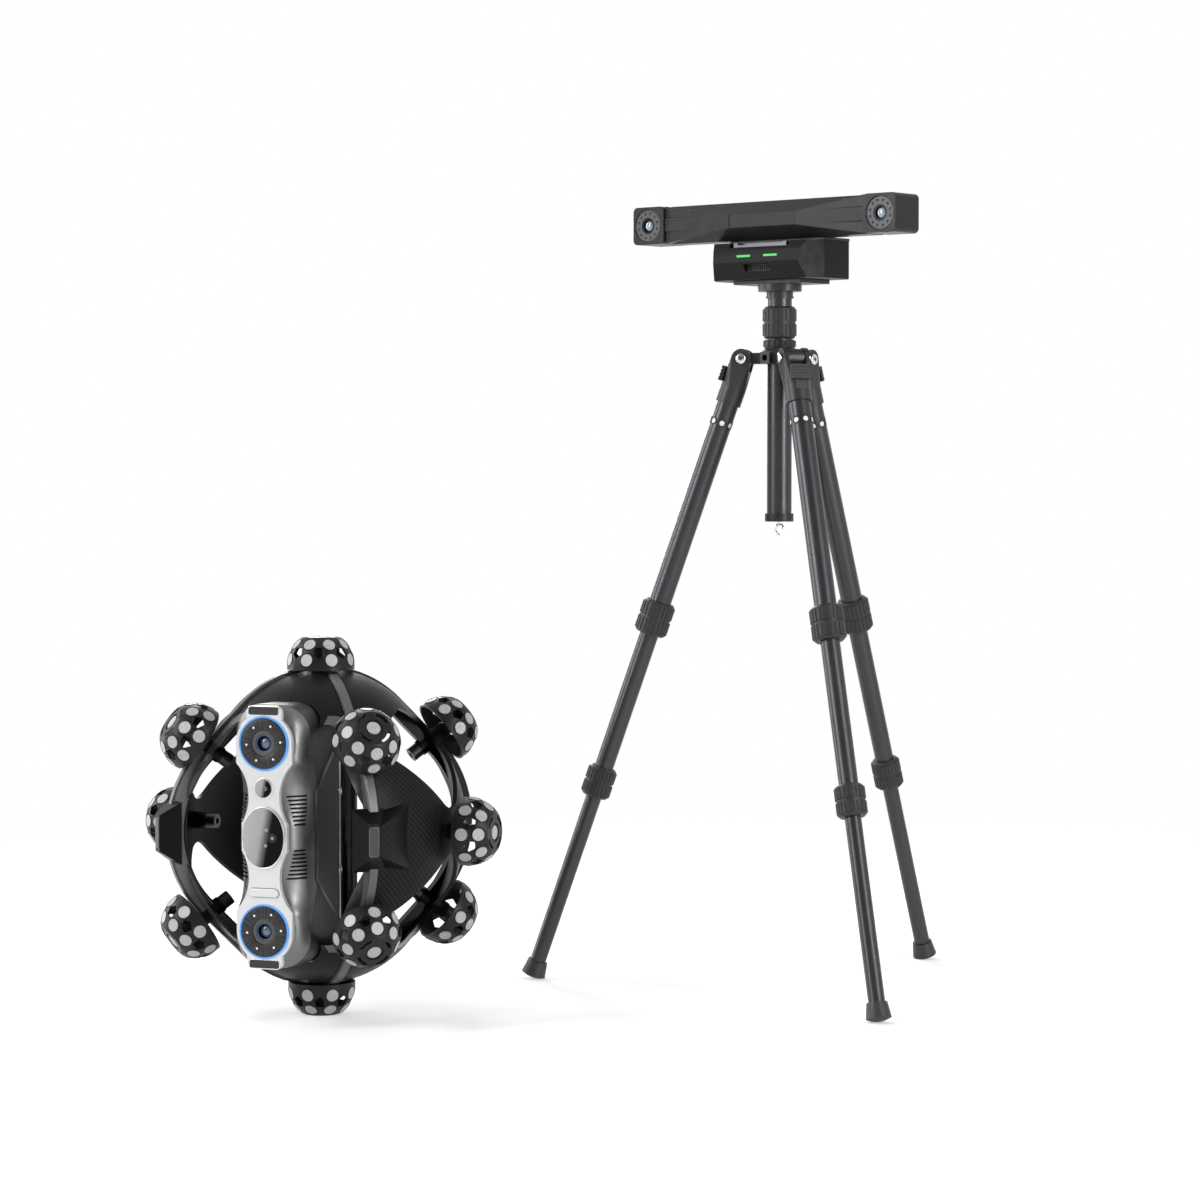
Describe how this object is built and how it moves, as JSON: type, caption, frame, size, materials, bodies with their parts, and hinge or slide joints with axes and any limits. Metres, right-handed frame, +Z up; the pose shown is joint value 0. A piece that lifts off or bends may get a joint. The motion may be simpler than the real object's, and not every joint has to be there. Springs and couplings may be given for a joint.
{
  "type": "optical tracking 3d scanner set",
  "caption": "Hand-held optical scanner inside a round cage of dotted marker domes, with a stereo tracker bar panning on a folding tripod with telescopic legs.",
  "frame": {"origin": "on the floor under the tripod's column", "axes": "+Z is up along the column; the tracker's cameras face -Y; the bar runs along X; the scanner stands at -X, -Y"},
  "size_m": [0.6234, 0.8398, 0.7833],
  "materials": {
    "hub_casting": "satin black anodised casting",
    "bolt_chrome": "bright plated steel",
    "collar_black": "matt black moulding",
    "grip_rubber": "ribbed black rubber",
    "tube_black": "satin black anodised tube",
    "tab_plastic": "ridged black moulding",
    "foot_rubber": "smooth black rubber",
    "tracker_black": "fine matt black paint",
    "plate_black": "matt black paint",
    "vent_black": "dark grille",
    "status_green": "lit light bar",
    "rail_metal": "brushed bare metal",
    "ring_grey": "satin dark grey",
    "lens_glass": "coated lens",
    "cage_carbon": "carbon fibre twill under satin lacquer",
    "dome_black": "satin dark moulding",
    "dot_reflector": "textured reflecting film",
    "screw_black": "black knob",
    "pad_black": "dark inlay",
    "plate_silver": "bright satin silver",
    "shell_gunmetal": "gunmetal metallic coat",
    "grip_black": "matt black, ribbed",
    "ring_blue": "lit ring",
    "disc_black": "turned black face",
    "window_gloss": "polished black window",
    "pill_white": "silver-white moulding",
    "button_grey": "matt grey key"
  },
  "bodies": {
    "hub": {"tripod_hub": "hub_casting", "pivot_bolts": "bolt_chrome", "column_collar": "collar_black"},
    "column_lock_ring": {"column_lock": "grip_rubber"},
    "column": {"column_tube": "tube_black", "column_cap": "collar_black", "ballast_hook": "bolt_chrome"},
    "tracker": {"head_plate": "hub_casting", "tracker_plate": "plate_black", "tracker_base": "tracker_black", "base_vent": "vent_black", "status_lights": "status_green", "saddle_rail": "rail_metal", "bar_mount_plate": "plate_black", "bar_shell": "tracker_black", "camera_blocks": "tracker_black", "camera_rings": "ring_grey", "camera_lenses": "lens_glass"},
    "left_leg": {"left_leg_shoulder": "hub_casting", "left_leg_upper_tube": "tube_black"},
    "left_angle_tab": {"left_leg_angle_tab": "tab_plastic"},
    "left_upper_lock": {"left_leg_upper_lock": "grip_rubber"},
    "left_middle": {"left_leg_middle_tube": "tube_black"},
    "left_lower_lock": {"left_leg_lower_lock": "grip_rubber"},
    "left_lower": {"left_leg_lower_tube": "tube_black", "left_leg_foot": "foot_rubber"},
    "front_leg": {"front_leg_shoulder": "hub_casting", "front_leg_upper_tube": "tube_black"},
    "front_angle_tab": {"front_leg_angle_tab": "tab_plastic"},
    "front_upper_lock": {"front_leg_upper_lock": "grip_rubber"},
    "front_middle": {"front_leg_middle_tube": "tube_black"},
    "front_lower_lock": {"front_leg_lower_lock": "grip_rubber"},
    "front_lower": {"front_leg_lower_tube": "tube_black", "front_leg_foot": "foot_rubber"},
    "right_leg": {"right_leg_shoulder": "hub_casting", "right_leg_upper_tube": "tube_black"},
    "right_angle_tab": {"right_leg_angle_tab": "tab_plastic"},
    "right_upper_lock": {"right_leg_upper_lock": "grip_rubber"},
    "right_middle": {"right_leg_middle_tube": "tube_black"},
    "right_lower_lock": {"right_leg_lower_lock": "grip_rubber"},
    "right_lower": {"right_leg_lower_tube": "tube_black", "right_leg_foot": "foot_rubber"},
    "scanner": {"marker_cage": "cage_carbon", "marker_domes": "dome_black", "marker_dots": "dot_reflector", "dome_screws": "screw_black", "hub_pads": "pad_black", "front_plate": "plate_silver", "left_side_shell": "shell_gunmetal", "right_side_shell": "shell_gunmetal", "rear_grip": "grip_black", "lens_rings": "ring_blue", "lens_discs": "disc_black", "scanner_lenses": "lens_glass", "projector_window": "window_gloss", "texture_camera": "window_gloss", "front_pill": "pill_white", "end_pads": "pad_black"},
    "scan_key": {"scan_button": "button_grey"},
    "mode_key": {"mode_button": "button_grey"}
  },
  "joints": [
    {"name": "column_lock_turn", "type": "hinge", "parent": "hub", "child": "column_lock_ring", "pos_m": [0, 0, 0.66335], "axis": [0, 0, 1], "range_deg": [0, 90]},
    {"name": "column_slide", "type": "slide", "parent": "hub", "child": "column", "axis": [0, 0, 1], "range_m": [-0.007, 0.14]},
    {"name": "tracker_pan", "type": "hinge", "parent": "column", "child": "tracker", "pos_m": [0, 0, 0.68735], "axis": [0, 0, 1], "continuous": true},
    {"name": "left_leg_fold", "type": "hinge", "parent": "hub", "child": "left_leg", "pos_m": [-0.03178, -0.01835, 0.62735], "axis": [-0.5, 0.866, 0], "range_deg": [-18.5, 0]},
    {"name": "left_angle_tab_slide", "type": "slide", "parent": "left_leg", "child": "left_angle_tab", "axis": [-0.2819, -0.1628, -0.9455], "range_m": [0, 0.006], "stiffness_N_per_m": 200, "springref_m": -0.002},
    {"name": "left_upper_lock_turn", "type": "hinge", "parent": "left_leg", "child": "left_upper_lock", "pos_m": [-0.10904, -0.06295, 0.36828], "axis": [-0.2819, -0.1628, -0.9455], "range_deg": [0, 90]},
    {"name": "left_middle_slide", "type": "slide", "parent": "left_leg", "child": "left_middle", "axis": [0.2819, 0.1628, 0.9455], "range_m": [0, 0.138]},
    {"name": "left_lower_lock_turn", "type": "hinge", "parent": "left_middle", "child": "left_lower_lock", "pos_m": [-0.15866, -0.0916, 0.20187], "axis": [-0.2819, -0.1628, -0.9455], "range_deg": [0, 90]},
    {"name": "left_lower_slide", "type": "slide", "parent": "left_middle", "child": "left_lower", "axis": [0.2819, 0.1628, 0.9455], "range_m": [0, 0.172]},
    {"name": "front_leg_fold", "type": "hinge", "parent": "hub", "child": "front_leg", "pos_m": [0.03178, -0.01835, 0.62735], "axis": [-0.5, -0.866, 0], "range_deg": [-18.5, 0]},
    {"name": "front_angle_tab_slide", "type": "slide", "parent": "front_leg", "child": "front_angle_tab", "axis": [0.2819, -0.1628, -0.9455], "range_m": [0, 0.006], "stiffness_N_per_m": 200, "springref_m": -0.002},
    {"name": "front_upper_lock_turn", "type": "hinge", "parent": "front_leg", "child": "front_upper_lock", "pos_m": [0.10904, -0.06295, 0.36828], "axis": [0.2819, -0.1628, -0.9455], "range_deg": [0, 90]},
    {"name": "front_middle_slide", "type": "slide", "parent": "front_leg", "child": "front_middle", "axis": [-0.2819, 0.1628, 0.9455], "range_m": [0, 0.138]},
    {"name": "front_lower_lock_turn", "type": "hinge", "parent": "front_middle", "child": "front_lower_lock", "pos_m": [0.15866, -0.0916, 0.20187], "axis": [0.2819, -0.1628, -0.9455], "range_deg": [0, 90]},
    {"name": "front_lower_slide", "type": "slide", "parent": "front_middle", "child": "front_lower", "axis": [-0.2819, 0.1628, 0.9455], "range_m": [0, 0.172]},
    {"name": "right_leg_fold", "type": "hinge", "parent": "hub", "child": "right_leg", "pos_m": [0, 0.0367, 0.62735], "axis": [1, 0, 0], "range_deg": [-18.5, 0]},
    {"name": "right_angle_tab_slide", "type": "slide", "parent": "right_leg", "child": "right_angle_tab", "axis": [0, 0.3256, -0.9455], "range_m": [0, 0.006], "stiffness_N_per_m": 200, "springref_m": -0.002},
    {"name": "right_upper_lock_turn", "type": "hinge", "parent": "right_leg", "child": "right_upper_lock", "pos_m": [0, 0.12591, 0.36828], "axis": [0, 0.3256, -0.9455], "range_deg": [0, 90]},
    {"name": "right_middle_slide", "type": "slide", "parent": "right_leg", "child": "right_middle", "axis": [0, -0.3256, 0.9455], "range_m": [0, 0.138]},
    {"name": "right_lower_lock_turn", "type": "hinge", "parent": "right_middle", "child": "right_lower_lock", "pos_m": [0, 0.18321, 0.20187], "axis": [0, 0.3256, -0.9455], "range_deg": [0, 90]},
    {"name": "right_lower_slide", "type": "slide", "parent": "right_middle", "child": "right_lower", "axis": [0, -0.3256, 0.9455], "range_m": [0, 0.172]},
    {"name": "scanner_lift", "type": "slide", "parent": "hub", "child": "scanner", "axis": [0, 0, 1], "range_m": [0, 0.3]},
    {"name": "scan_button_press", "type": "slide", "parent": "scanner", "child": "scan_key", "axis": [0.3338, -0.9426, 0], "range_m": [0, 0.0016], "stiffness_N_per_m": 400, "springref_m": -0.001},
    {"name": "mode_button_press", "type": "slide", "parent": "scanner", "child": "mode_key", "axis": [0.3338, -0.9426, 0], "range_m": [0, 0.0016], "stiffness_N_per_m": 400, "springref_m": -0.001}
  ]
}
